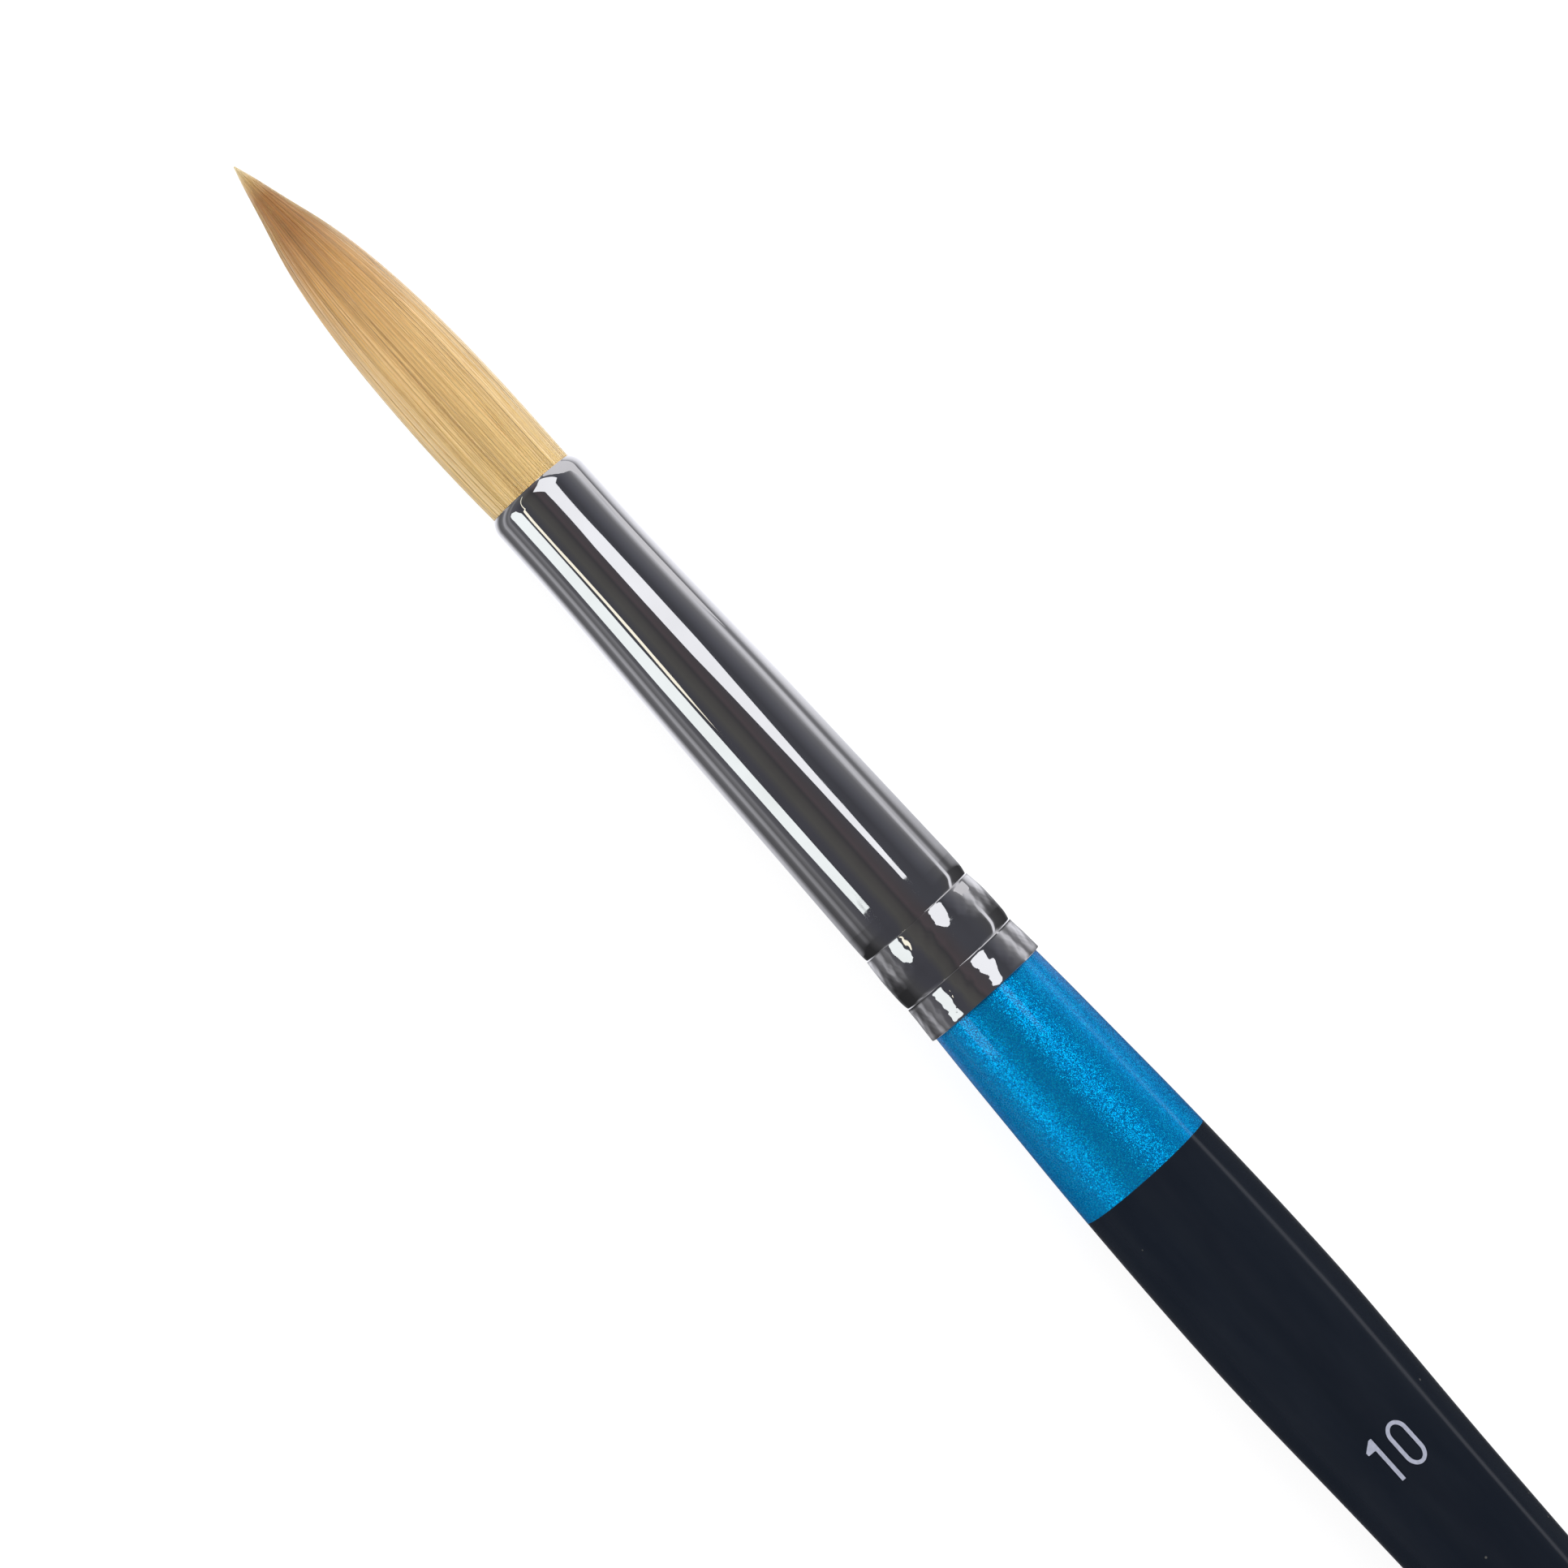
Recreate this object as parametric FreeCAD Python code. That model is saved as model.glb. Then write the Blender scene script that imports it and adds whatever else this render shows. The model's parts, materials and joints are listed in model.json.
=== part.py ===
import FreeCAD, Part
import math
import os
from FreeCAD import Vector

# Round brush, size 10, lying on its side. All lengths are in millimetres.
# Frame: +Z up, the brush's axis runs along X with the tuft towards +X. The origin is halfway
# along the brush, straight below its axis, on the surface that the handle's swelling rests on.
# A station is a distance along the axis behind the ferrule's mouth; stations in the free tuft,
# in front of the mouth, are negative.

# ---- overall ----
TUFT_LENGTH = 27.7
HANDLE_END = 184.0
MAX_RADIUS = 5.115
OVERALL_LENGTH = TUFT_LENGTH + HANDLE_END
MOUTH_X = OVERALL_LENGTH / 2 - TUFT_LENGTH
AXIS_Z = MAX_RADIUS

# ---- ferrule: seamless tube, rolled in at the mouth, crimped twice near the handle ----
FERRULE_LENGTH = 42.9
FERRULE_WALL = 0.3
MOUTH_RADIUS = 3.1
MOUTH_DEPTH = 0.35
LAND_RADIUS = 3.54
LAND_START = 0.95
LAND_END = 3.95
LIP_CURVE = 1.4
CONE_OUTLINE = [(LAND_END, LAND_RADIUS), (15.4, 3.84), (25.6, 4.055), (35.2, 4.25)]
CRIMP_OUTLINE = [
    (35.2, 4.25),
    (36.5, 4.13),
    (37.3, 4.30),
    (38.5, 4.385),
    (39.7, 4.32),
    (40.5, 4.23),
    (41.4, 4.31),
    (FERRULE_LENGTH, 4.485),
]
FLARE_SLOPE = 0.12

# ---- handle: outside of the lacquer, widest at the swelling ----
SWELLING = 70.0
NECK_OUTLINE = [
    (FERRULE_LENGTH, 4.22),
    (46.0, 4.39),
    (50.3, 4.59),
    (54.4, 4.78),
    (58.0, 4.91),
    (64.0, 5.06),
    (SWELLING, MAX_RADIUS),
]
NECK_SLOPE = 0.055
BUTT_START = 182.2
BUTT_RADIUS = 2.07
BUTT_SLOPE = 50.0
TAPER = 0.0275
TAPER_OUTLINE = [
    (SWELLING, MAX_RADIUS),
    (76.4, 4.975),
    (84.0, 4.72),
    (92.3, 4.54),
    (120.0, 3.78),
    (150.0, 2.955),
    (BUTT_START, BUTT_RADIUS),
]
LACQUER = 0.2
BAND_END = 58.0
GLUE_FILM = 0.15
TENON_START = 20.5

# ---- tuft ----
TIP_RADIUS = 0.05
TUFT_OUTLINE = [
    (-TUFT_LENGTH, TIP_RADIUS),
    (-26.7, 0.36),
    (-24.2, 1.03),
    (-21.5, 1.78),
    (-18.0, 2.46),
    (-14.0, 2.90),
    (-10.3, 3.11),
    (-5.1, 3.20),
    (0.0, MOUTH_RADIUS),
]
HEEL_LENGTH = 5.0
BELLY_END = 12.0
WAIST_END = 16.0

# ---- filament roots, resin and thread inside the ferrule ----
ROOT_END = 17.5
TIED_RADIUS = 2.8
ROOT_OUTLINE = [
    (0.0, MOUTH_RADIUS),
    (1.0, MOUTH_RADIUS),
    (5.4, 3.0),
    (6.0, TIED_RADIUS),
    (8.4, TIED_RADIUS),
    (ROOT_END, TIED_RADIUS + 0.05),
]
RESIN_START = 12.5
THREAD_RADIUS = 0.18
THREAD_TURNS = 5
THREAD_GAP = 0.01
THREAD_START = 6.4

# ---- size number printed on the handle, its top towards the tuft ----
MARK_TOP = 79.4
MARK_HEIGHT = 3.3
MARK_FILM = 0.05
DIGIT_OFFSET = 0.82
ZERO_WIDTH = 1.42
ZERO_END = 0.9
ZERO_STROKE = 0.26
ONE_STEM = 0.27
ONE_SLANT = 0.06
ONE_FLAG_WIDTH = 0.55
ONE_FLAG_TOP = 0.52
ONE_FLAG_BOTTOM = 0.76


def at(station, radius):
    """Point above the axis at a station and a radius."""
    return Vector(MOUTH_X - station, 0, AXIS_Z + radius)


def shift(outline, change):
    """The same outline with every radius changed by the same amount."""
    return [(station, radius + change) for station, radius in outline]


def straight(outline):
    """Straight edges through an outline's points."""
    points = [at(*p) for p in outline]
    return [Part.LineSegment(a, b).toShape() for a, b in zip(points, points[1:])]


def smooth(outline, first_slope=None, last_slope=None):
    """One smooth edge through an outline's points; slopes are radius per length behind the mouth."""
    curve = Part.BSplineCurve()
    points = [at(*p) for p in outline]
    if first_slope is None:
        curve.interpolate(points)
    else:
        curve.interpolate(
            Points=points,
            InitialTangent=Vector(-1, 0, first_slope),
            FinalTangent=Vector(-1, 0, last_slope),
        )
    return [curve.toShape()]


def turned(edges):
    """Solid turned about the brush's axis under a run of outline edges."""
    first = edges[0].firstVertex(True).Point
    last = edges[-1].lastVertex(True).Point
    corners = [last, Vector(last.x, 0, AXIS_Z), Vector(first.x, 0, AXIS_Z), first]
    closing = [
        Part.LineSegment(a, b).toShape()
        for a, b in zip(corners, corners[1:])
        if a.distanceToPoint(b) > 1e-6
    ]
    face = Part.Face(Part.Wire(edges + closing))
    return face.revolve(Vector(0, 0, AXIS_Z), Vector(1, 0, 0), 360)


def between(shape, start, end):
    """The stretch of a solid from one station to another."""
    reach = 4 * MAX_RADIUS
    corner = Vector(MOUTH_X - end, -reach / 2, AXIS_Z - reach / 2)
    return shape.common(Part.makeBox(end - start, reach, reach, corner))


def ferrule_outside():
    """The ferrule's outside: rolled lip, straight land, cone, then the two crimps."""
    lip_centre = LAND_RADIUS - LIP_CURVE
    lip = [
        at(station, lip_centre + math.sqrt(LIP_CURVE**2 - (LAND_START - station) ** 2))
        for station in (0, LAND_START / 2, LAND_START)
    ]
    edges = [Part.Arc(*lip).toShape()]
    edges += straight([(LAND_START, LAND_RADIUS), (LAND_END, LAND_RADIUS)])
    edges += smooth(CONE_OUTLINE, 0.0, 0.0)
    edges += smooth(CRIMP_OUTLINE, 0.0, FLARE_SLOPE)
    return turned(edges)


def ferrule_bore():
    """Everything inside the ferrule's wall."""
    inner = LAND_RADIUS - FERRULE_WALL
    edges = straight([
        (0, MOUTH_RADIUS),
        (MOUTH_DEPTH, MOUTH_RADIUS),
        (LAND_START, inner),
        (LAND_END, inner),
    ])
    edges += smooth(shift(CONE_OUTLINE, -FERRULE_WALL), 0.0, 0.0)
    edges += smooth(shift(CRIMP_OUTLINE, -FERRULE_WALL), 0.0, FLARE_SLOPE)
    return turned(edges)


def butt(change):
    """Rounded end of the handle, half an ellipse, for an outline moved by the given amount."""
    length = HANDLE_END + change - BUTT_START
    outline = [
        (BUTT_START + share * length, (BUTT_RADIUS + change) * math.sqrt(1 - share**2))
        for share in (0.0, 0.5, 0.8, 0.95, 1.0)
    ]
    return smooth(outline, -TAPER, -BUTT_SLOPE)


def handle_edges(change):
    """Handle outline from the ferrule's end to the butt, moved by the given amount."""
    edges = smooth(shift(NECK_OUTLINE, change), NECK_SLOPE, 0.0)
    edges += smooth(shift(TAPER_OUTLINE, change), 0.0, -TAPER)
    return edges + butt(change)


def handle_core():
    """Turned wood with the tenon that the ferrule is crimped on."""
    inset = -FERRULE_WALL - GLUE_FILM
    tenon = turned(
        smooth(shift(CONE_OUTLINE, inset), 0.0, 0.0)
        + smooth(shift(CRIMP_OUTLINE, inset), 0.0, FLARE_SLOPE)
    )
    tenon = between(tenon, TENON_START, FERRULE_LENGTH)
    return tenon.fuse(turned(handle_edges(-LACQUER))).removeSplitter()


def binding_thread():
    """Closed turns of thread, side by side round the filament roots."""
    pitch = 2 * THREAD_RADIUS + THREAD_GAP
    turns = []
    for turn in range(THREAD_TURNS):
        centre = Vector(MOUTH_X - THREAD_START - turn * pitch, 0, AXIS_Z)
        turns.append(Part.makeTorus(TIED_RADIUS + THREAD_RADIUS, THREAD_RADIUS,
                                    centre, Vector(1, 0, 0)))
    return Part.makeCompound(turns)


def on_mark(down, across):
    """Point over the size number: distance below its top, distance to the left of the middle."""
    return Vector(MOUTH_X - MARK_TOP - down, across, AXIS_Z)


def oval(inset):
    """Filled outline of the zero, moved inwards: straight sides with half-ellipse ends."""
    half_width = ZERO_WIDTH / 2 - inset
    end_length = ZERO_END - inset
    top, bottom = [
        Part.ArcOfEllipse(Part.Ellipse(on_mark(down, -DIGIT_OFFSET), end_length, half_width),
                          first, first + math.pi)
        for down, first in ((ZERO_END, -math.pi / 2), (MARK_HEIGHT - ZERO_END, math.pi / 2))
    ]
    sides = [
        Part.LineSegment(top.EndPoint, bottom.StartPoint),
        Part.LineSegment(bottom.EndPoint, top.StartPoint),
    ]
    return Part.Face(Part.Wire([c.toShape() for c in (top, sides[0], bottom, sides[1])]))


def size_mark():
    """The number 10 as a thin printed film that follows the handle's surface."""
    stem = (DIGIT_OFFSET - ONE_STEM / 2, DIGIT_OFFSET + ONE_STEM / 2)
    flag_edge = stem[1] + ONE_FLAG_WIDTH
    corners = [
        on_mark(0, stem[0]),
        on_mark(MARK_HEIGHT, stem[0]),
        on_mark(MARK_HEIGHT, stem[1]),
        on_mark(ONE_FLAG_BOTTOM, stem[1]),
        on_mark(ONE_FLAG_BOTTOM, flag_edge),
        on_mark(ONE_FLAG_TOP, flag_edge),
        on_mark(0, stem[1] - ONE_SLANT),
    ]
    one = Part.Face(Part.makePolygon(corners + corners[:1]))
    zero = oval(0).cut(oval(ZERO_STROKE))
    lift = Vector(0, 0, 2 * MAX_RADIUS)
    film = turned(handle_edges(MARK_FILM)).cut(turned(handle_edges(0)))
    return Part.makeCompound([film.common(digit.extrude(lift)).Solids[0] for digit in (one, zero)])


def make_parts():
    tuft = turned(smooth(TUFT_OUTLINE))
    bore = ferrule_bore()
    root = turned(straight(ROOT_OUTLINE))
    core = handle_core()
    lacquer = turned(handle_edges(0)).cut(core)
    return {
        "handle_core": core,
        "black_lacquer": between(lacquer, BAND_END, HANDLE_END + 1),
        "blue_lacquer_band": between(lacquer, FERRULE_LENGTH, BAND_END),
        "size_mark": size_mark(),
        "ferrule": ferrule_outside().cut(bore),
        "handle_glue": between(bore, TENON_START, FERRULE_LENGTH).cut(core),
        "hair_setting_resin": between(bore, RESIN_START, TENON_START).cut(root),
        "hair_binding_thread": binding_thread(),
        "hair_root": root,
        "hair_heel": between(tuft, -HEEL_LENGTH, 0),
        "hair_belly": between(tuft, -BELLY_END, -HEEL_LENGTH),
        "hair_waist": between(tuft, -WAIST_END, -BELLY_END),
        "hair_point": between(tuft, -TUFT_LENGTH - 1, -WAIST_END),
    }


os.makedirs("parts", exist_ok=True)
for name, shape in make_parts().items():
    solids = shape.Solids
    piece = solids[0] if len(solids) == 1 else Part.makeCompound(solids)
    piece.exportStep(f"parts/{name}.step")
    print(f"{name}: {len(solids)} solid, {piece.Volume:.2f} mm3, valid {piece.isValid()}")
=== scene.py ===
import json
import math

import bmesh
import bpy
import numpy as np
from mathutils import Matrix, Vector


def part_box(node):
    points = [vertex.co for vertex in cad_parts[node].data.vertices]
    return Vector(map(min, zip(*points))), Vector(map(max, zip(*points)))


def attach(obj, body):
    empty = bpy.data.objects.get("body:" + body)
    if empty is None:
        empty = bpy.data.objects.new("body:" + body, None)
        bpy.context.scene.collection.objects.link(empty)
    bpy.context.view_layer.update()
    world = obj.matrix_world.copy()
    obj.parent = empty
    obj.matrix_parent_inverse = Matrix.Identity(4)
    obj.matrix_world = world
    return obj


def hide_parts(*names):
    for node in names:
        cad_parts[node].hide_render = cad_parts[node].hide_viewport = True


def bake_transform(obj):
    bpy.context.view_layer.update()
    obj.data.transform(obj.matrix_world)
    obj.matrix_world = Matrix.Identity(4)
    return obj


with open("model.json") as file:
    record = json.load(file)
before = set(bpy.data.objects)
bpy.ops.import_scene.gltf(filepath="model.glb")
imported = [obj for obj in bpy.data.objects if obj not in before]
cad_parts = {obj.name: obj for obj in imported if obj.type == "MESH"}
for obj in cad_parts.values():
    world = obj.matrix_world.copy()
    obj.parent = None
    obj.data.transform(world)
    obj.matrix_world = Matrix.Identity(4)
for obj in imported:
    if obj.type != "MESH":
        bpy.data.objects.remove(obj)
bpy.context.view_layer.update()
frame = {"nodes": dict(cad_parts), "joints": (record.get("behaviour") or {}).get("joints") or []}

# Round brush, size 10, lying along X with its tuft towards +X. Shapes are worked out in
# millimetres as (station, radius), a station being the distance behind the ferrule's mouth, and
# placed in metres. "Out" is the distance in front of the mouth, along the free tuft.
# Angles round the axis run from straight up (0) towards +Y.

MM = 0.001
HANDLE = "handle_and_ferrule"

# ---- places and sizes read from the frame ----
FERRULE_LOW, FERRULE_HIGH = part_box("ferrule")
BLACK_LOW, BLACK_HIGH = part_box("black_lacquer")
MOUTH_X = FERRULE_HIGH.x
AXIS_Z = (FERRULE_LOW.z + FERRULE_HIGH.z) / 2


def station_of(x):
    """Distance behind the ferrule's mouth, in millimetres, of a place along X."""
    return (MOUTH_X - x) / MM


FERRULE_END = station_of(FERRULE_LOW.x)
BAND_END = station_of(BLACK_HIGH.x)
HANDLE_END = station_of(BLACK_LOW.x)
TUFT_LENGTH = -station_of(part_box("hair_point")[1].x)
ROOT_DEPTH = station_of(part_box("hair_root")[0].x)
BELLY_PIVOT, POINT_PIVOT = (-station_of(j["pos_m"][0]) for j in frame["joints"])

# ---- ferrule and handle sizes ----
WALL = 0.3
MOUTH_RADIUS = 3.1
MOUTH_DEPTH = 0.35
LAND_RADIUS = 3.54
LAND_START = 0.95
LAND_END = 3.95
LIP_CURVE = 1.4
CONE_END = 35.2
FLARE_RADIUS = 4.485
LACQUER = 0.2
SWELLING = 70.0
SWELLING_RADIUS = 5.115
BUTT_START = 182.2
BUTT_RADIUS = 2.07
BUTT_SLOPE = -0.0275


# =============================== outlines ===============================

def spline(points, first_slope, last_slope):
    """Clamped cubic spline through (place, radius) points, returned as a function of place."""
    x, y = np.array(points, float).T
    h, rise = np.diff(x), np.diff(y)
    slopes = np.concatenate([[first_slope], rise / h, [last_slope]])
    count = len(x)
    system = np.zeros((count, count))
    for i in range(count):
        before = h[i - 1] if i > 0 else 0.0
        after = h[i] if i < count - 1 else 0.0
        system[i, i] = 2 * (before + after)
        if i > 0:
            system[i, i - 1] = before
        if i < count - 1:
            system[i, i + 1] = after
    bend = np.linalg.solve(system, 6 * np.diff(slopes))

    def radius(place):
        place = np.asarray(place, float)
        i = np.clip(np.searchsorted(x, place) - 1, 0, count - 2)
        left, right = place - x[i], x[i + 1] - place
        return (
            (bend[i] * right**3 + bend[i + 1] * left**3) / (6 * h[i])
            + (y[i] / h[i] - bend[i] * h[i] / 6) * right
            + (y[i + 1] / h[i] - bend[i + 1] * h[i] / 6) * left
        )

    return radius


cone_radius = spline(
    [(LAND_END, LAND_RADIUS), (15.4, 3.84), (25.6, 4.055), (CONE_END, 4.25)], 0.0, 0.02
)
neck_radius = spline(
    [(FERRULE_END, 4.22), (46.0, 4.39), (50.3, 4.59), (54.4, 4.78), (58.0, 4.91), (64.0, 5.06),
     (SWELLING, SWELLING_RADIUS)], 0.055, 0.0
)
taper_radius = spline(
    [(SWELLING, SWELLING_RADIUS), (76.4, 4.975), (84.0, 4.72), (92.3, 4.54), (120.0, 3.78),
     (150.0, 2.955), (BUTT_START, BUTT_RADIUS)], 0.0, BUTT_SLOPE
)
tuft_radius = spline(
    [(0.0, MOUTH_RADIUS), (5.1, 3.20), (10.3, 3.11), (14.0, 2.90), (18.0, 2.46), (21.5, 1.78),
     (24.2, 1.03), (26.7, 0.36), (TUFT_LENGTH, 0.05)], 0.03, -0.3
)


def handle_radius(station):
    """Outside of the lacquer, from the ferrule's end to the butt's rounding."""
    return np.where(station < SWELLING, neck_radius(station), taper_radius(station))


def bundle_radius(out):
    """Outside of the filament bundle: the free tuft, and the tied roots inside the ferrule."""
    root = np.interp(-out, [0, 1, 5.4, 6, 8.4, ROOT_DEPTH], [3.1, 3.1, 3.0, 2.8, 2.8, 2.85])
    return np.where(out < 0, root, tuft_radius(np.maximum(out, 0)))


# =============================== mesh work ===============================

def place(station, radius, angle):
    """Points in metres for stations, radii and angles round the axis."""
    return np.stack([
        MOUTH_X - station * MM,
        radius * MM * np.sin(angle),
        AXIS_Z + radius * MM * np.cos(angle),
    ], axis=-1)


def new_piece(name, points, faces, material):
    """Smoothly shaded mesh object from metre points and faces."""
    mesh = bpy.data.meshes.new(name)
    mesh.from_pydata(points.tolist(), [], faces)
    mesh.materials.append(material)
    mesh.polygons.foreach_set("use_smooth", np.ones(len(faces), bool))
    piece = bpy.data.objects.new(name, mesh)
    bpy.context.scene.collection.objects.link(piece)
    return piece


def turned(name, outline, material, around, ripple=None, sharp=35):
    """Piece turned about the axis from a closed loop of (station, radius), or from a run that
    starts and ends on the axis. ripple(station, angle) is added to the radius. Edges that turn by
    more than the sharp angle, in degrees, stay crisp."""
    outline = np.array(outline, float)
    on_axis = outline[0, 1] == 0
    angles = np.linspace(0, 2 * math.pi, around, endpoint=False)
    station, angle = np.meshgrid(outline[:, 0], angles, indexing="ij")
    radius = np.repeat(outline[:, 1:], around, axis=1)
    if ripple:
        radius = radius + ripple(station, angle)
    points = place(station, radius, angle).reshape(-1, 3)
    faces = []
    rings = len(outline)
    for i in range(rings - 1 if on_axis else rings):
        a, b = i * around, (i + 1) % rings * around
        for j in range(around):
            k = (j + 1) % around
            faces.append((a + j, a + k, b + k, b + j))
    piece = new_piece(name, points, faces, material)
    solid = bmesh.new()
    solid.from_mesh(piece.data)
    bmesh.ops.remove_doubles(solid, verts=solid.verts, dist=1e-8)
    bmesh.ops.recalc_face_normals(solid, faces=solid.faces)
    solid.to_mesh(piece.data)
    solid.free()
    piece.data.set_sharp_from_angle(angle=math.radians(sharp))
    return piece


def set_values(piece, name, values):
    """Stores one number per vertex under a name that materials read."""
    attribute = piece.data.attributes.new(name, "FLOAT", "POINT")
    attribute.data.foreach_set("value", np.asarray(values, np.float32).ravel())


# =============================== materials ===============================

def new_material(name, **sockets):
    """Material with a Principled shader; plain values go straight onto its sockets."""
    material = bpy.data.materials.new(name)
    material.use_nodes = True
    tree = material.node_tree
    shader = next(n for n in tree.nodes if n.type == "BSDF_PRINCIPLED")
    for socket, value in sockets.items():
        shader.inputs[socket.replace("_", " ")].default_value = value
    return material, tree, shader


def node(tree, kind, inputs=None, **settings):
    """Shader node; an input is a plain value, or another node's output to link."""
    made = tree.nodes.new(kind)
    for key, value in settings.items():
        setattr(made, key, value)
    for key, value in (inputs or {}).items():
        if isinstance(value, bpy.types.NodeSocket):
            tree.links.new(value, made.inputs[key])
        else:
            made.inputs[key].default_value = value
    return made


def stretched(tree, scale):
    """Object coordinates scaled differently along and across the brush."""
    coordinates = node(tree, "ShaderNodeTexCoord").outputs["Object"]
    return node(tree, "ShaderNodeMapping", {"Vector": coordinates, "Scale": scale}).outputs[0]


def noise(tree, coordinates, detail=3.0, roughness=0.5):
    """Cloudy values around 0.5."""
    made = node(tree, "ShaderNodeTexNoise", {"Vector": coordinates, "Scale": 1.0,
                                             "Detail": detail, "Roughness": roughness})
    return made.outputs["Fac"]


def remap(tree, value, low, high, to_low, to_high):
    """Value carried over from one range to another, and held at its ends."""
    made = node(tree, "ShaderNodeMapRange", {"Value": value, "From Min": low, "From Max": high,
                                             "To Min": to_low, "To Max": to_high})
    return made.outputs["Result"]


def ramp(tree, factor, stops):
    """Colour ramp from (place, colour) stops."""
    made = node(tree, "ShaderNodeValToRGB", {"Fac": factor})
    elements = made.color_ramp.elements
    while len(elements) < len(stops):
        elements.new(0.5)
    for element, (spot, colour) in zip(elements, stops):
        element.position = spot
        element.color = (*colour, 1.0)
    return made.outputs["Color"]


def mix(tree, factor, first, second, blend="MIX"):
    """Mix of two colours, each a plain one or another node's output."""
    made = node(tree, "ShaderNodeMix", data_type="RGBA", blend_type=blend)
    for socket, value in (("Factor", factor), ("A", first), ("B", second)):
        target = next(s for s in made.inputs if s.name == socket and s.enabled)
        if isinstance(value, bpy.types.NodeSocket):
            tree.links.new(value, target)
        else:
            target.default_value = value if socket == "Factor" else (*value, 1.0)
    return next(s for s in made.outputs if s.enabled)


def bump(tree, shader, height, distance, strength):
    """Fine relief; its depth is a distance in metres."""
    made = node(tree, "ShaderNodeBump",
                {"Height": height, "Distance": distance, "Strength": strength})
    tree.links.new(made.outputs["Normal"], shader.inputs["Normal"])


def filament_material():
    """Golden filament: light at the mouth, browner towards the point, pale at the very tips."""
    material, tree, shader = new_material(
        "golden_filament", Roughness=0.45, IOR=1.5, Specular_IOR_Level=0.35,
        Sheen_Weight=1.0, Sheen_Roughness=0.55, Sheen_Tint=(1.0, 0.92, 0.78, 1.0),
        Subsurface_Weight=0.35, Subsurface_Scale=0.0005, Subsurface_Radius=(1.0, 0.8, 0.5))
    along = node(tree, "ShaderNodeAttribute", attribute_name="along").outputs["Fac"]
    tone = node(tree, "ShaderNodeAttribute", attribute_name="tone").outputs["Fac"]
    base = ramp(tree, along, [
        (0.0, (0.86, 0.550, 0.185)),
        (0.42, (0.82, 0.480, 0.158)),
        (0.66, (0.64, 0.310, 0.074)),
        (0.80, (0.37, 0.128, 0.014)),
        (0.90, (0.37, 0.128, 0.014)),
        (0.95, (0.66, 0.390, 0.110)),
        (1.0, (0.95, 0.780, 0.420)),
    ])
    shade = ramp(tree, tone, [
        (0.0, (0.60, 0.53, 0.44)),
        (0.5, (1.0, 1.0, 1.0)),
        (0.9, (1.18, 1.22, 1.34)),
    ])
    tree.links.new(mix(tree, 1.0, base, shade, "MULTIPLY"), shader.inputs["Base Color"])
    return material


def nickel_material():
    """Bright plate, mirror-like, with faint clouds and fine wear."""
    material, tree, shader = new_material("bright_nickel", Metallic=1.0)
    clouds = noise(tree, stretched(tree, (300.0, 300.0, 300.0)), 5.0)
    wear = noise(tree, stretched(tree, (900.0, 5000.0, 5000.0)), 4.0, 0.6)
    colour = ramp(tree, clouds, [(0.3, (0.62, 0.61, 0.605)), (0.7, (0.67, 0.66, 0.66))])
    tree.links.new(colour, shader.inputs["Base Color"])
    tree.links.new(remap(tree, wear, 0.45, 0.75, 0.015, 0.06), shader.inputs["Roughness"])
    waviness = noise(tree, stretched(tree, (150.0, 420.0, 420.0)), 1.5)
    bump(tree, shader, waviness, 0.000012, 0.6)
    return material


def blue_pearl_material():
    """Blue lacquer full of fine pearl flakes, each leaning a little its own way."""
    material, tree, shader = new_material(
        "blue_pearl", Metallic=0.8, Coat_Weight=0.5, Coat_Roughness=0.05,
        Specular_IOR_Level=0.05, Specular_Tint=(0.02, 0.30, 0.62, 1.0))
    coordinates = node(tree, "ShaderNodeTexCoord")
    flakes = node(tree, "ShaderNodeTexVoronoi",
                  {"Vector": coordinates.outputs["Object"], "Scale": 20000.0, "Randomness": 1.0})
    lean = node(tree, "ShaderNodeVectorMath",
                {0: flakes.outputs["Color"], 1: (0.5, 0.5, 0.5)}, operation="SUBTRACT")
    lean = node(tree, "ShaderNodeVectorMath", {0: lean.outputs[0], "Scale": 0.32},
                operation="SCALE")
    leaning = node(tree, "ShaderNodeVectorMath",
                   {0: lean.outputs[0], 1: coordinates.outputs["Normal"]}, operation="ADD")
    normal = node(tree, "ShaderNodeVectorMath", {0: leaning.outputs[0]}, operation="NORMALIZE")
    tree.links.new(normal.outputs[0], shader.inputs["Normal"])
    chance = node(tree, "ShaderNodeSeparateColor", {"Color": flakes.outputs["Color"]})
    colour = ramp(tree, chance.outputs["Red"], [
        (0.0, (0.0002, 0.350, 0.920)),
        (0.7, (0.0004, 0.425, 1.000)),
        (1.0, (0.0008, 0.615, 1.000)),
    ])
    tree.links.new(colour, shader.inputs["Base Color"])
    tree.links.new(remap(tree, chance.outputs["Green"], 0.0, 1.0, 0.22, 0.32),
                   shader.inputs["Roughness"])
    return material


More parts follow.
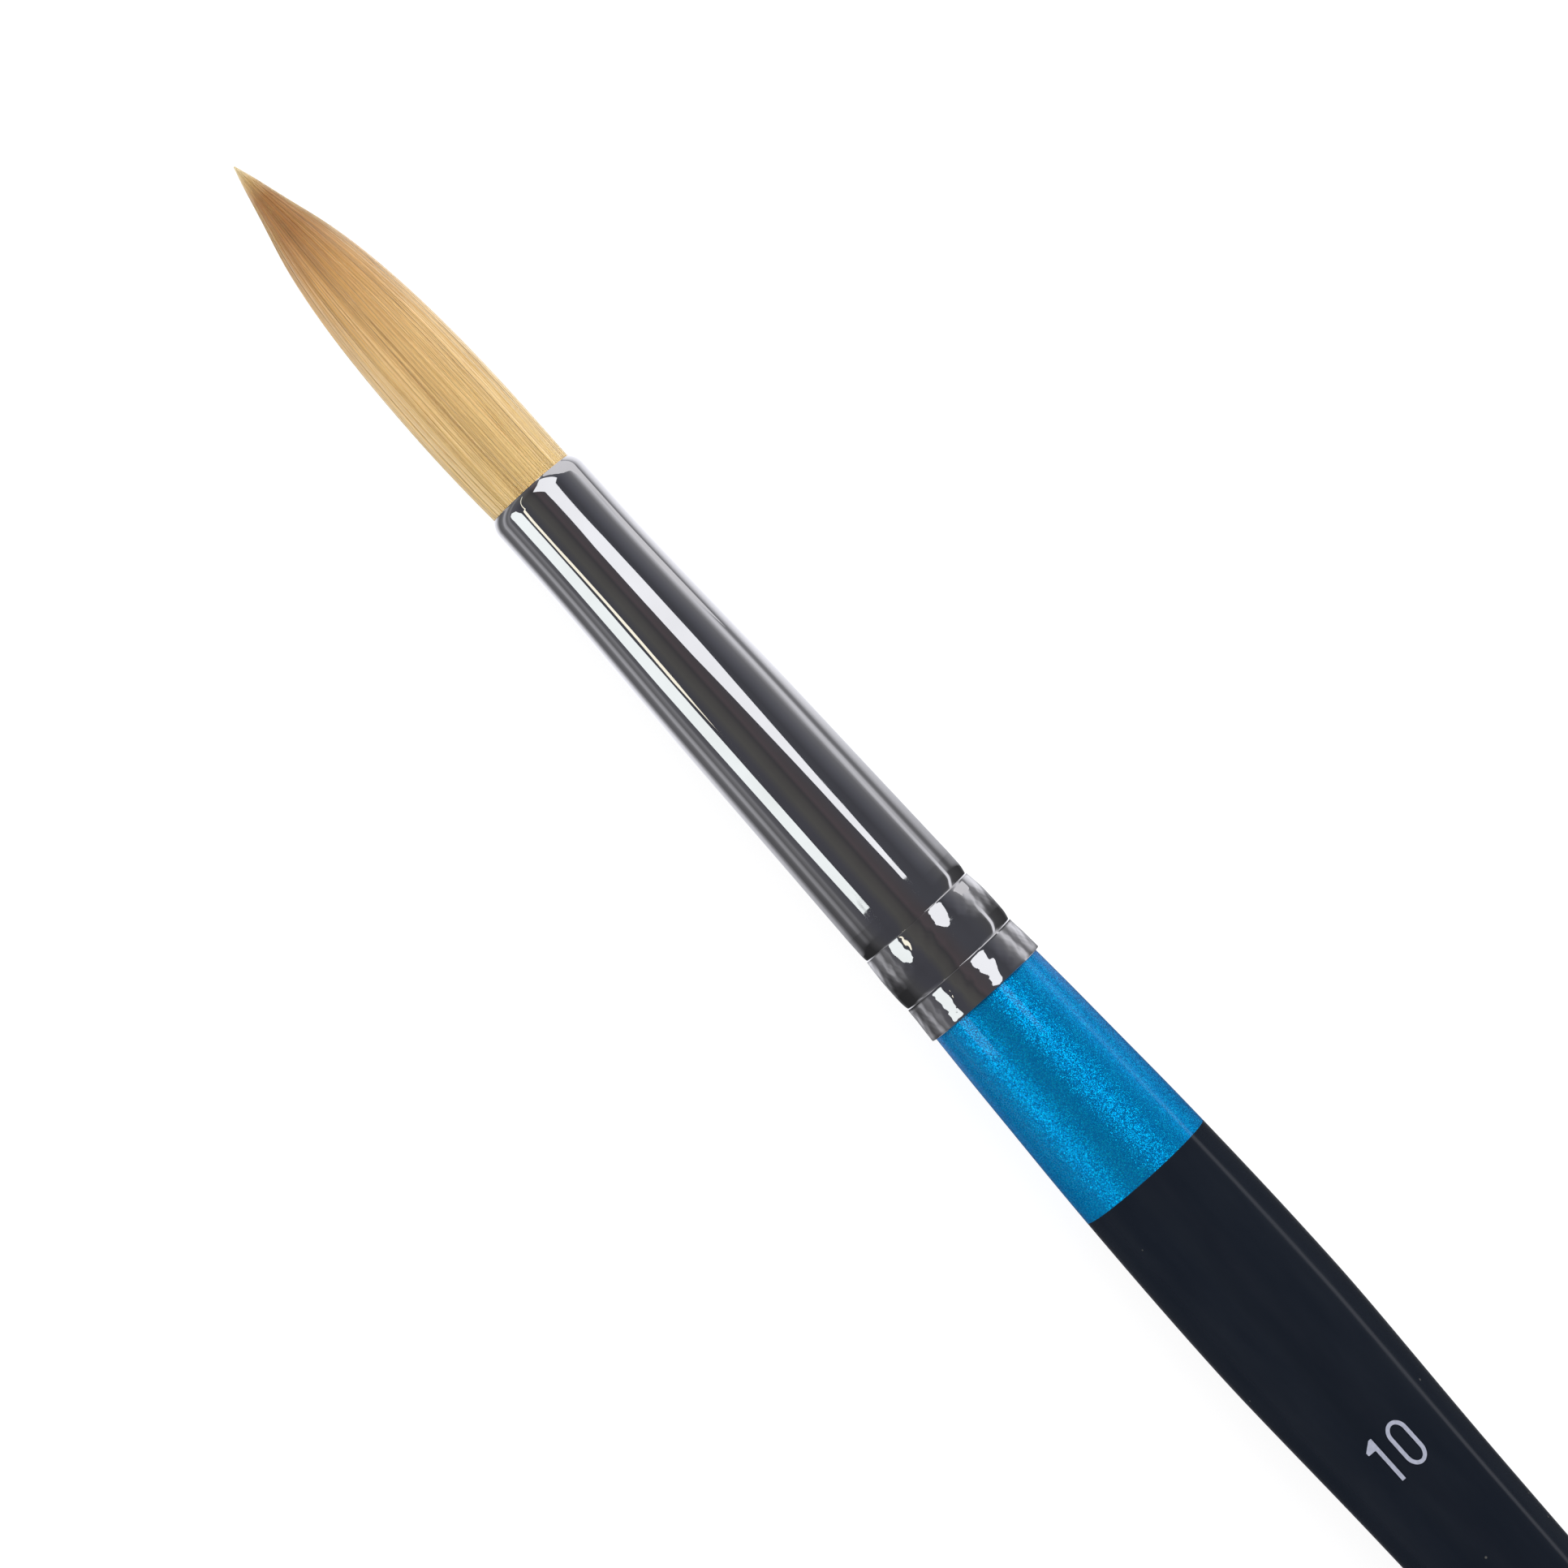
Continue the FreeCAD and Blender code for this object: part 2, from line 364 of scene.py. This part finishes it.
def black_lacquer_material():
    """Deep bluish black with a faint unevenness and specks of dust."""
    material, tree, shader = new_material(
        "black_gloss_lacquer", IOR=1.45, Specular_IOR_Level=0.35)
    specks = node(tree, "ShaderNodeTexVoronoi",
                  {"Vector": node(tree, "ShaderNodeTexCoord").outputs["Object"], "Scale": 350.0})
    dust = remap(tree, specks.outputs["Distance"], 0.02, 0.035, 1.0, 0.0)
    clouds = noise(tree, stretched(tree, (120.0, 500.0, 500.0)), 4.0)
    base = ramp(tree, clouds, [(0.35, (0.0075, 0.0105, 0.0170)), (0.7, (0.0105, 0.0138, 0.0208))])
    colour = mix(tree, dust, base, (0.09, 0.09, 0.085))
    tree.links.new(colour, shader.inputs["Base Color"])
    tree.links.new(remap(tree, clouds, 0.3, 0.7, 0.08, 0.14), shader.inputs["Roughness"])
    bump(tree, shader, noise(tree, stretched(tree, (350.0, 600.0, 600.0)), 2.0), 0.00001, 0.4)
    return material


def print_material():
    """Silver-grey print with slightly patchy cover."""
    material, tree, shader = new_material("silver_print", Specular_IOR_Level=0.3)
    patches = noise(tree, stretched(tree, (4000.0, 4000.0, 4000.0)), 4.0, 0.7)
    colour = ramp(tree, patches, [(0.3, (0.33, 0.35, 0.43)), (0.6, (0.42, 0.44, 0.54))])
    tree.links.new(colour, shader.inputs["Base Color"])
    tree.links.new(remap(tree, patches, 0.3, 0.7, 0.35, 0.5), shader.inputs["Roughness"])
    return material


def wood_material():
    """Pale turned hardwood with grain along the handle."""
    material, tree, shader = new_material("turned_wood", Roughness=0.6)
    grain = noise(tree, stretched(tree, (60.0, 1500.0, 1500.0)), 6.0, 0.6)
    colour = ramp(tree, grain, [(0.3, (0.48, 0.31, 0.16)), (0.7, (0.72, 0.54, 0.34))])
    tree.links.new(colour, shader.inputs["Base Color"])
    bump(tree, shader, grain, 0.00003, 0.5)
    return material


def glue_material():
    """Cloudy cured glue, off-white to straw."""
    material, tree, shader = new_material("cured_glue", IOR=1.5)
    clouds = noise(tree, stretched(tree, (700.0, 700.0, 700.0)), 3.0)
    colour = ramp(tree, clouds, [(0.3, (0.66, 0.56, 0.36)), (0.7, (0.78, 0.70, 0.50))])
    tree.links.new(colour, shader.inputs["Base Color"])
    tree.links.new(remap(tree, clouds, 0.3, 0.7, 0.35, 0.6), shader.inputs["Roughness"])
    return material


def resin_material():
    """Glossy amber resin."""
    material, tree, shader = new_material("amber_resin", IOR=1.55, Roughness=0.12)
    clouds = noise(tree, stretched(tree, (900.0, 900.0, 900.0)), 3.0)
    colour = ramp(tree, clouds, [(0.3, (0.45, 0.26, 0.07)), (0.7, (0.62, 0.42, 0.16))])
    tree.links.new(colour, shader.inputs["Base Color"])
    return material


def thread_material():
    """Off-white thread, its twist shown by slanting bands of relief, with painted shade darkening
    the grooves between them.
    """
    material, tree, shader = new_material("twisted_thread", Roughness=0.8)
    twist = node(tree, "ShaderNodeTexWave",
                 {"Vector": stretched(tree, (1.0, 1.0, 1.0)), "Scale": 900.0, "Distortion": 1.0},
                 bands_direction="DIAGONAL")
    # Painted shade: the colour follows the twist wave and is darker where the bump puts the grooves.
    colour = ramp(tree, twist.outputs["Fac"], [(0.2, (0.60, 0.57, 0.50)), (0.8, (0.85, 0.83, 0.78))])
    tree.links.new(colour, shader.inputs["Base Color"])
    bump(tree, shader, twist.outputs["Fac"], 0.00005, 0.6)
    return material


# =============================== ferrule ===============================
# Two grooves rolled in by separate jaws: behind each sharp crease the tube rises steeply again.
# A jaw presses deepest at its middle, and all of them press more on the -Y side.

CRIMPS = (
    (34.6, 4.241), (35.5, 4.245), (35.9, 4.241), (36.2, 4.218), (36.35, 4.180),
    (36.42, 4.250), (36.7, 4.278), (37.1, 4.315), (37.5, 4.345), (38.0, 4.370), (38.7, 4.384),
    (39.4, 4.381), (39.85, 4.366), (40.1, 4.343), (40.25, 4.312), (40.33, 4.280),
    (40.40, 4.344), (40.8, 4.360), (41.3, 4.386), (41.9, 4.425), (42.5, 4.460), (42.86, 4.485),
)
CREASES = (36.35, 40.33)
JAWS = 7
RING_PITCH = 0.12
CREASE_RINGS = (-0.08, -0.03, 0.0, 0.07, 0.11)
CREASE_CLEARANCE = 0.13
SMOOTHING = 0.16
CRISP_REACH = 0.1


def crimp_ring_places():
    """Stations of the mesh rings over the crimps, closest at the creases."""
    even = np.arange(CRIMPS[0][0], CRIMPS[-1][0], RING_PITCH)
    near = [crease + step for crease in CREASES for step in CREASE_RINGS]
    clear = [s for s in even if min(abs(s - crease) for crease in CREASES) > CREASE_CLEARANCE]
    return sorted(clear + near)


def crimped_radius(station):
    """Outside of the crimps: smooth between the creases, sharp at them."""
    places, radii = np.array(CRIMPS).T
    nearby = np.linspace(-SMOOTHING, SMOOTHING, 9)
    smooth = np.mean([np.interp(station + step, places, radii) for step in nearby], axis=0)
    gap = np.min([np.abs(station - crease) for crease in CREASES], axis=0)
    share = np.clip(gap / CRISP_REACH - 1, 0, 1)
    return np.interp(station, places, radii) * (1 - share) + smooth * share


def bell(station, middle, width):
    """Smooth rise to 1 at a station and fall to nothing over about two widths each way."""
    return np.exp(-(((station - middle) / width) ** 2))


def jaw_marks(station, angle):
    """Change of radius made by the jaws round the tube, and the tube's slight unevenness."""
    marks = 0.003 * np.sin(2 * angle + 0.4) * np.sin(station / 9)
    press = 0.5 - 0.5 * np.sin(angle)
    crinkle = (np.sin(17 * angle + 2 * station) + np.sin(29 * angle - 5 * station)
               + 0.4 * np.sin(47 * angle + 11 * station))
    for number, crease in enumerate(CREASES):
        lobe = np.cos(JAWS * angle + 0.9 * number)
        uneven = 0.5 * np.sin(3 * angle + number) + 0.5 * np.sin(5 * angle + 2.1 * number)
        reach = np.where(station <= crease, 0.4, 0.9)
        marks -= (0.055 * press + 0.020 * lobe + 0.016 * uneven) * bell(station, crease, reach)
        marks -= (0.014 * lobe + 0.008 * uneven) * bell(station, crease + 1.5, 0.8)
        marks -= 0.0032 * crinkle * bell(station, crease + 1.2, 1.0)
    return marks


def ferrule():
    """Thin tube: rolled lip, straight land, cone and crimps, with the same shape inside."""
    lip = [
        (s, LAND_RADIUS - LIP_CURVE + math.sqrt(LIP_CURVE**2 - (LAND_START - s) ** 2))
        for s in np.linspace(0.03, LAND_START, 18)
    ]
    rim = [(0.0, MOUTH_RADIUS + 0.02), (0.004, lip[0][1] - 0.015)]
    land = [(s, LAND_RADIUS) for s in np.linspace(LAND_START, LAND_END, 5)[1:]]
    cone = [(s, float(cone_radius(s))) for s in np.linspace(LAND_END, CRIMPS[0][0], 40)[1:-1]]
    crimps = [(s, float(crimped_radius(s))) for s in crimp_ring_places()]
    end = [(FERRULE_END - 0.02, FLARE_RADIUS - 0.004), (FERRULE_END, FLARE_RADIUS - 0.03)]
    outside = rim + lip + land + cone + crimps + end
    inside = [(s, r - WALL) for s, r in reversed(outside) if s > LAND_START]
    throat = [(MOUTH_DEPTH, MOUTH_RADIUS), (0.03, MOUTH_RADIUS)]
    piece = turned("ferrule_plated", outside + inside + throat, nickel_material(),
                   around=320, ripple=jaw_marks, sharp=15)
    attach(piece, HANDLE)
    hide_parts("ferrule")


# =============================== handle ===============================

def band():
    """Sleeve of blue lacquer from the ferrule's end to the black coat."""
    stations = np.linspace(FERRULE_END, BAND_END, 60)
    outside = [(s, float(handle_radius(s))) for s in stations]
    inside = [(s, r - LACQUER) for s, r in reversed(outside)]
    piece = turned("blue_pearl_band", outside + inside, blue_pearl_material(), around=224)
    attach(piece, HANDLE)
    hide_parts("blue_lacquer_band")


def black_coat():
    """Black lacquer over the handle, closed round the butt."""
    stations = np.linspace(BAND_END, BUTT_START, 170)

    def skin(inset):
        """Half outline at a depth under the surface, ending on the axis at the butt."""
        side = [(s, float(handle_radius(s)) - inset) for s in stations]
        length = HANDLE_END - inset - BUTT_START
        shares = np.sin(np.linspace(0, math.pi / 2, 14))[1:]
        butt = [(BUTT_START + share * length,
                 (BUTT_RADIUS - inset) * math.sqrt(max(0.0, 1 - share**2))) for share in shares]
        butt[-1] = (butt[-1][0], 0.0)
        return side + butt

    outline = list(reversed(skin(LACQUER))) + skin(0.0)
    piece = turned("black_lacquer_coat", outline, black_lacquer_material(), around=224)
    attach(piece, HANDLE)
    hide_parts("black_lacquer")


# =============================== tuft ===============================
# Every filament runs from its set root inside the ferrule to its own tip. The filaments are
# built in groups, each cut in two a little past twice the belly hinge's distance out, into a
# lower half and an upper half that meet at the cut.

FILAMENTS = 1700
GROUPS = 6
SIDES = 3
FILAMENT = 0.043
FINE_TIP = 0.010
THINNING = 14
SHELL = 0.085
STRAY = 0.02
SWAY = 0.016
SHORTEST = 8.0
SET_OFF = 0.09
SET_OFF_REACH = 2.5
TIP_LEAN = 0.30

# ---- where the filaments are cut ----
BELLY_BLEND = 2 * BELLY_PIVOT
CUT = BELLY_BLEND + 0.05
CUT_RING = 0.02
ROOT_RINGS = (-ROOT_DEPTH, -14, -10, -7, -4, -1.5)

# ---- shades of the filaments, 0 dark to 1 light ----
TONE_SPREAD = 0.17
DARK_SHARE = 0.06
DARK_STEP = 0.30
TIP_CONTRAST = 0.9
TIP_CONTRAST_START = 12
TIP_CONTRAST_REACH = 10
BUNDLE_SHADING = 0.45


def bend_line(out):
    """Sideways place of the tuft's middle line, in millimetres towards +Y."""
    out = np.maximum(out, 0)
    return SET_OFF * (1 - np.exp(-out / SET_OFF_REACH)) + TIP_LEAN * (out / TUFT_LENGTH) ** 2


def tone_at(angle, seed=3):
    """Broad light and dark streaks round the tuft, from 0 (dark) to 1 (light)."""
    draw = np.random.default_rng(seed)
    waves = sum(
        draw.uniform(0.5, 1.0) * np.sin(k * angle + draw.uniform(0, 2 * math.pi))
        for k in (2, 5, 9, 14, 23, 37, 60)
    )
    return 0.5 + 0.055 * waves


class Bundle:
    """The filaments' own numbers: depth under the surface, angle, length, sway and tone."""

    def __init__(self, seed=10):
        draw = np.random.default_rng(seed)
        self.depth = draw.uniform(-STRAY, SHELL, FILAMENTS)
        self.angle = draw.uniform(0, 2 * math.pi, FILAMENTS)
        self.length = TUFT_LENGTH - SHORTEST * draw.uniform(0, 1, FILAMENTS) ** 1.5
        self.phase = draw.uniform(0, 2 * math.pi, FILAMENTS)
        self.wave = draw.uniform(14, 34, FILAMENTS)
        self.spin = draw.uniform(0, 2 * math.pi, FILAMENTS)
        dark = draw.random(FILAMENTS) < DARK_SHARE
        tone = tone_at(self.angle) + draw.normal(0, TONE_SPREAD, FILAMENTS) - DARK_STEP * dark
        self.tone = np.clip(tone, 0, 1)

    def path(self, chosen, out):
        """Centre points, in metres, and angles of the chosen filaments at distances out."""
        fade = np.clip(out / 5, 0, 1) * np.clip((TUFT_LENGTH - out) / 9, 0, 1)
        turns = out / self.wave[chosen, None] * 2 * math.pi + self.phase[chosen, None]
        angle = self.angle[chosen, None] + SWAY * np.sin(turns) * fade
        inset = self.thickness(chosen, out) + self.depth[chosen, None] * np.clip(
            bundle_radius(out) / MOUTH_RADIUS, 0, 1)
        points = place(-out, np.maximum(bundle_radius(out) - inset, 0.002), angle)
        points[..., 1] += bend_line(out) * MM
        return points, angle

    def thickness(self, chosen, out):
        """Filament radius: even, then a long taper to a fine tip."""
        left = np.clip((self.length[chosen, None] - out) / THINNING, 0, 1)
        return FINE_TIP + (FILAMENT - FINE_TIP) * left**0.8


def filaments(name, bundle, chosen, out, material):
    """Thin closed tubes along the chosen filaments; out holds each one's ring places. The
    shading leans towards the whole bundle's own, so that it looks like one smooth tuft."""
    centres, angle = bundle.path(chosen, out)
    count, rings = out.shape
    turn = bundle.spin[chosen, None, None] - np.arange(SIDES) * 2 * math.pi / SIDES
    size = bundle.thickness(chosen, out)[..., None] * MM
    points = np.repeat(centres[:, :, None, :], SIDES, axis=2)
    points[..., 1] += size * np.sin(turn)
    points[..., 2] += size * np.cos(turn)
    faces = []
    for i in range(count):
        start = i * rings * SIDES
        last = start + (rings - 1) * SIDES
        for a in range(start, last, SIDES):
            for j in range(SIDES):
                m = (j + 1) % SIDES
                faces.append((a + j, a + m, a + SIDES + m, a + SIDES + j))
        faces.append(tuple(start + j for j in reversed(range(SIDES))))
        faces.append(tuple(last + j for j in range(SIDES)))
    piece = new_piece(name, points.reshape(-1, 3), faces, material)
    along = np.repeat(np.clip(out, 0, None)[..., None] / TUFT_LENGTH, SIDES, axis=2)
    near_tip = np.clip((out[..., None] - TIP_CONTRAST_START) / TIP_CONTRAST_REACH, 0, 1)
    tone = 0.5 + (bundle.tone[chosen, None, None] - 0.5) * (1 + TIP_CONTRAST * near_tip)
    set_values(piece, "along", along)
    set_values(piece, "tone", np.broadcast_to(tone, along.shape))
    slope = (bundle_radius(out + 0.1) - bundle_radius(out - 0.1)) / 0.2
    bundle_way = np.stack([-slope, np.sin(angle), np.cos(angle)], axis=-1)[:, :, None, :]
    own_way = np.stack(np.broadcast_arrays(0 * turn, np.sin(turn), np.cos(turn)), axis=-1)
    normals = BUNDLE_SHADING * bundle_way + (1 - BUNDLE_SHADING) * own_way
    piece.data.normals_split_custom_set_from_vertices(normals.reshape(-1, 3))
    return piece


def packed_core(name, start, end, material):
    """The filaments too deep to be seen one by one, as one filled body."""
    outs = np.concatenate([[start + CUT_RING], np.linspace(start, end, 34)[1:-1], [end - CUT_RING]])
    ring = [(-d, float(bundle_radius(d)) * 0.99 - 0.065) for d in outs]
    around = 240
    outline = [(-start, 0.0), (-start, ring[0][1] - 0.01)] + ring
    outline += [(-end, ring[-1][1] - 0.01), (-end, 0.0)]
    piece = turned(name, outline, material, around=around)
    points = np.array([v.co for v in piece.data.vertices])
    out = (points[:, 0] - MOUTH_X) / MM
    angle = np.arctan2(points[:, 1], points[:, 2] - AXIS_Z)
    points[:, 1] += bend_line(out) * MM
    piece.data.vertices.foreach_set("co", points.astype(np.float32).ravel())
    column = np.rint(angle / (2 * math.pi) * around).astype(int) % around
    streaks = np.random.default_rng(7).normal(0, 0.10, around)
    set_values(piece, "along", np.clip(out / TUFT_LENGTH, 0, 1))
    # Painted shade: the core's tone is lowered by 0.08, darkening the gaps between the filaments
    # where it shows.
    set_values(piece, "tone", np.clip(tone_at(angle) + streaks[column] - 0.08, 0, 1))
    return piece


def over_belly(piece):
    """Bakes a piece's placement into its mesh; it sets up no bending."""
    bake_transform(piece)


def over_point(piece):
    """Bakes a piece's placement into its mesh; it sets up no bending."""
    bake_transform(piece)


def tuft():
    """All filaments in their groups, and the core under them."""
    material = filament_material()
    bundle = Bundle()
    order = np.argsort(bundle.angle)
    lower_rings = np.array([*ROOT_RINGS, *np.linspace(0, CUT - CUT_RING, 10), CUT])
    for group in range(GROUPS):
        chosen = order[group::GROUPS]
        low = np.broadcast_to(lower_rings, (len(chosen), len(lower_rings)))
        lower = filaments(f"filaments_lower_{group + 1}", bundle, chosen, low, material)
        reach = bundle.length[chosen, None] - CUT
        share = np.linspace(0, 1, 20)
        high = CUT + np.concatenate(
            [np.zeros_like(reach), np.full_like(reach, CUT_RING), reach * share[1:]], axis=1)
        upper = filaments(f"filaments_upper_{group + 1}", bundle, chosen, high, material)
        for piece, crosses in ((lower, over_belly), (upper, over_point)):
            crosses(piece)
        if group == 0:
            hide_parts("hair_root", "hair_heel")
            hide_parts("hair_belly", "hair_waist", "hair_point")
    for piece, crosses in (
        (packed_core("filament_core_lower", -ROOT_DEPTH, CUT, material), over_belly),
        (packed_core("filament_core_upper", CUT, TUFT_LENGTH - 1.0, material), over_point),
    ):
        crosses(piece)


# =============================== studio ===============================
# Places in the studio are given as seen from the brush in the picture's own layout: so many
# degrees right of and above straight overhead. Area lights give the light; shiny surfaces
# reflect pale cards of the softboxes' shapes instead, and a dark room.

CAMERA_STATION = 24.54
CAMERA_SIDE = 0.61
CAMERA_HEIGHT = 386.1
CAMERA_LENS = 140.3
LEAN = math.radians(48.06)
PICTURE_RIGHT = Vector((-math.cos(LEAN), -math.sin(LEAN), 0))
PICTURE_UP = Vector((math.sin(LEAN), -math.cos(LEAN), 0))
OVERHEAD = Vector((0, 0, 1))
FERRULE_MIDDLE = Vector((MOUTH_X - CAMERA_STATION * MM, 0, AXIS_Z))


def toward(right, up):
    """Direction so many degrees right of and above overhead, in the picture's layout."""
    tilt = math.radians(math.hypot(right, up))
    sideways = (PICTURE_RIGHT * right + PICTURE_UP * up).normalized()
    return sideways * math.sin(tilt) + OVERHEAD * math.cos(tilt)


def camera():
    """Straight above the ferrule, turned so that the brush runs down to the right."""
    data = bpy.data.cameras.new("camera")
    data.lens = CAMERA_LENS
    data.dof.use_dof = False
    viewer = bpy.data.objects.new("camera", data)
    bpy.context.scene.collection.objects.link(viewer)
    turn = Matrix((PICTURE_RIGHT, PICTURE_UP, OVERHEAD)).transposed()
    spot = FERRULE_MIDDLE + Vector((0, CAMERA_SIDE, CAMERA_HEIGHT)) * MM
    viewer.matrix_world = Matrix.Translation(spot) @ turn.to_4x4()
    bpy.context.scene.camera = viewer


def softbox(name, right, up, size, distance, radiance):
    """Square area light facing the brush."""
    data = bpy.data.lights.new(name, "AREA")
    data.size = size
    data.energy = radiance * math.pi * size**2
    lamp = bpy.data.objects.new(name, data)
    bpy.context.scene.collection.objects.link(lamp)
    direction = toward(right, up)
    lamp.location = FERRULE_MIDDLE + direction * distance
    lamp.rotation_euler = direction.to_track_quat("Z", "Y").to_euler()
    lamp.visible_camera = False
    lamp.visible_glossy = False


def glowing(name, colour, strength):
    """Material that only glows."""
    material, tree, shader = new_material(name, Specular_IOR_Level=0.0, Emission_Strength=strength)
    shader.inputs["Base Color"].default_value = (0, 0, 0, 1)
    shader.inputs["Emission Color"].default_value = (*colour, 1)
    return material


def card(name, corners, colour, strength, distance=0.6):
    """Flat glowing card that only reflections show."""
    points = np.array([FERRULE_MIDDLE + toward(*corner) * distance for corner in corners])
    piece = new_piece(name, points, [tuple(range(len(corners)))], glowing(name, colour, strength))
    piece.visible_camera = False
    piece.visible_diffuse = False
    piece.visible_shadow = False
    piece.visible_transmission = False


# Brightness of the room in reflections, as (height of the direction, level) from straight down
# (-1) over the horizon (0) to straight up (1). Directions towards the tuft and towards the handle
# have their own levels, on the near side (-Y) and on the far side (+Y).
TUFT_SIDE = (
    (-1.0, 1.30), (-0.84, 1.15), (-0.73, 1.0), (-0.61, 0.62), (-0.53, 0.30), (-0.44, 0.24),
    (-0.38, 0.36), (-0.31, 0.78), (-0.22, 0.88), (-0.12, 0.60), (-0.03, 0.34), (0.06, 0.22),
    (0.25, 0.16), (0.6, 0.080), (1.0, 0.095),
)
TUFT_FAR_SIDE = (
    (-1.0, 1.20), (-0.84, 0.95), (-0.74, 0.46), (-0.64, 0.17), (-0.50, 0.17), (-0.40, 0.24),
    (-0.31, 0.50), (-0.23, 0.44), (-0.13, 0.17), (-0.04, 0.22), (0.04, 0.28), (0.12, 0.15),
    (0.6, 0.085), (1.0, 0.095),
)
HANDLE_SIDE = (
    (-1.0, 0.15), (-0.85, 0.05), (-0.3, 0.08), (-0.22, 0.14), (-0.17, 1.1), (-0.09, 1.1),
    (-0.06, 0.18), (0.0, 0.10), (0.6, 0.085), (1.0, 0.09),
)
HANDLE_FAR_SIDE = (
    (-1.0, 0.12), (-0.85, 0.03), (-0.3, 0.04), (0.0, 0.09), (0.6, 0.08), (1.0, 0.09),
)


def room():
    """Dark room for reflections, with a pale band round the horizon and a pale table below. The
    handle's levels hold only for directions that lean a little towards the handle, and a faint
    tint by the sideways direction shows overhead."""
    world = bpy.data.worlds.new("studio_room")
    bpy.context.scene.world = world
    world.use_nodes = True
    tree = world.node_tree
    background = next(n for n in tree.nodes if n.type == "BACKGROUND")
    direction = node(tree, "ShaderNodeTexCoord").outputs["Generated"]
    parts = node(tree, "ShaderNodeSeparateXYZ", {"Vector": direction})
    height = remap(tree, parts.outputs["Z"], -1.0, 1.0, 0.0, 1.0)
    tuft_near, tuft_far, handle_near, handle_far = (
        ramp(tree, height, [((z + 1) / 2, (0.95 * v, 0.96 * v, 1.03 * v)) for z, v in levels])
        for levels in (TUFT_SIDE, TUFT_FAR_SIDE, HANDLE_SIDE, HANDLE_FAR_SIDE)
    )
    across = remap(tree, parts.outputs["Y"], -0.15, 0.15, 0.0, 1.0)
    handle_side = mix(tree, across, handle_near, handle_far)
    tuft_side = mix(tree, across, tuft_near, tuft_far)
    endways = remap(tree, parts.outputs["X"], -1.0, 1.0, 0.0, 1.0)
    white, black = (1, 1, 1), (0, 0, 0)
    along = ramp(tree, endways, [(0.25, white), (0.33, black), (0.477, black), (0.515, white)])
    colour = mix(tree, along, handle_side, tuft_side)
    sideways = remap(tree, parts.outputs["Y"], -1.0, 1.0, 0.0, 1.0)
    tint = ramp(tree, sideways, [
        (0.25, (0.97, 0.99, 1.10)), (0.42, (1.04, 0.92, 0.94)), (0.48, (1.15, 0.95, 0.98)),
        (0.53, (0.76, 0.73, 0.74)), (0.60, (1.05, 1.01, 0.94)), (0.70, (1.22, 1.20, 1.08)),
        (0.80, (0.95, 0.96, 1.08)),
    ])
    overhead = remap(tree, parts.outputs["Z"], 0.0, 0.4, 0.0, 1.0)
    tree.links.new(mix(tree, overhead, colour, tint, "MULTIPLY"), background.inputs["Color"])


def cove():
    """Plain white table that curves up into a backdrop, glowing so that shadows stay faint."""
    material, tree, shader = new_material(
        "white_cove", Roughness=0.9, Specular_IOR_Level=0.0, Emission_Strength=0.88)
    clouds = noise(tree, stretched(tree, (20.0, 20.0, 20.0)), 2.0)
    colour = ramp(tree, clouds, [(0.3, (0.21, 0.21, 0.215)), (0.7, (0.23, 0.23, 0.235))])
    tree.links.new(colour, shader.inputs["Base Color"])
    shader.inputs["Emission Color"].default_value = (1, 1, 1, 1)
    profile = [(0.0, 0.0), (1.0, 0.0), (3.0, 0.0)]
    profile += [(3.0 + math.sin(a), 1 - math.cos(a)) for a in np.linspace(0.1, math.pi / 2, 12)]
    profile += [(4.0, 2.2)]
    around = 96
    angles = np.linspace(0, 2 * math.pi, around, endpoint=False)
    points = np.array([(r * math.cos(a), r * math.sin(a), z) for r, z in profile for a in angles])
    faces = [
        (i * around + j, i * around + (j + 1) % around,
         (i + 1) * around + (j + 1) % around, (i + 1) * around + j)
        for i in range(len(profile) - 1) for j in range(around)
    ]
    piece = new_piece("white_cove", points, faces, material)
    piece.visible_glossy = False


def studio():
    """Two softboxes, the cards that reflections show instead, and the room."""
    softbox("upper_softbox", -3, 42, 0.62, 0.7, 4.5)
    softbox("left_softbox", -60, -24, 0.45, 0.7, 3.7)
    card("upper_softbox_card",
         [(-36.5, 72.5), (-32, 52), (-33.5, 33), (8, 15.3), (14, 16.4), (19.5, 17.6), (25, 22.4),
          (27.3, 28.5), (28.5, 34.3), (24.7, 54), (-9.7, 68)],
         (0.93, 0.95, 1.0), 1.37)
    card("left_softbox_card",
         [(-79, -21), (-79, -10), (-65.6, -10), (-42, -28.3), (-38.1, -32.6), (-37.3, -33.6),
          (-50.5, -46), (-55, -47.5), (-61, -45)],
         (0.91, 0.97, 0.98), 1.43)
    card("warm_edge_card",
         [(-63.5, 37), (-61, 21), (-55.7, 8.7), (-34.3, -17), (-34.3, -22.6), (-35.3, -26.5),
          (-38.6, -26.4), (-37.5, -17), (-58, 10), (-63, 22), (-65, 37)],
         (1.0, 0.96, 0.80), 1.5)
    card("pale_wall_card",
         [(-42, 90), (-28, 78), (0, 73), (22, 68), (40, 66), (62, 70), (80, 85), (40, 115),
          (-20, 120)],
         (0.95, 0.95, 1.0), 0.9)
    room()
    bpy.context.scene.view_settings.view_transform = "Standard"


def dress_cad_nodes():
    """Own materials for the CAD pieces that are shown as they are."""
    finishes = {
        "handle_core": wood_material(),
        "handle_glue": glue_material(),
        "hair_setting_resin": resin_material(),
        "hair_binding_thread": thread_material(),
        "size_mark": print_material(),
    }
    for name, material in finishes.items():
        mesh = frame["nodes"][name].data
        mesh.materials.clear()
        mesh.materials.append(material)


camera()
studio()
cove()
dress_cad_nodes()
ferrule()
band()
black_coat()
tuft()
